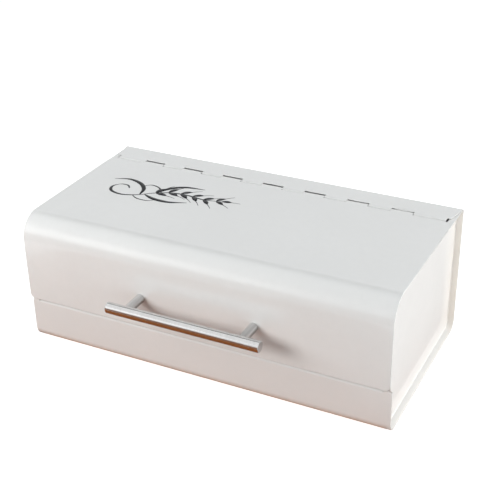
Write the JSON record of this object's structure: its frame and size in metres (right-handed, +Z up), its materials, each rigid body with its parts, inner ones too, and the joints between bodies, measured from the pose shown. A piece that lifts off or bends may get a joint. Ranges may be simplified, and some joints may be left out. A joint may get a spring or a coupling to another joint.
{
  "type": "bread box",
  "caption": "Sheet-steel bread box with a lift-up lid bent over the front, rolled knuckle hinge and round bar handle.",
  "frame": {"origin": "on the surface it stands on, under the middle of the whole box with its handle", "axes": "+Z up, +X along the hinge to the right, the handle and front face -Y"},
  "size_m": [0.412, 0.25, 0.1505],
  "materials": {
    "white_paint": "gloss",
    "brushed_steel": "brushed",
    "steel_wire": "satin",
    "foot_rubber": "matte"
  },
  "bodies": {
    "box": {"body_shell": "white_paint", "left_side_panel": "white_paint", "right_side_panel": "white_paint", "hinge_pin": "steel_wire", "front_left_foot": "foot_rubber", "front_right_foot": "foot_rubber", "rear_left_foot": "foot_rubber", "rear_right_foot": "foot_rubber"},
    "lid": {"lid": "white_paint", "handle_bar": "brushed_steel", "left_handle_post": "brushed_steel", "right_handle_post": "brushed_steel", "left_post_stud": "steel_wire", "right_post_stud": "steel_wire", "left_lid_screw": "steel_wire", "right_lid_screw": "steel_wire", "left_lid_washer": "steel_wire", "right_lid_washer": "steel_wire"}
  },
  "joints": [
    {"name": "lid_hinge", "type": "hinge", "parent": "box", "child": "lid", "pos_m": [0, 0.0898, 0.14765], "axis": [-1, 0, 0], "range_deg": [0, 105]}
  ]
}
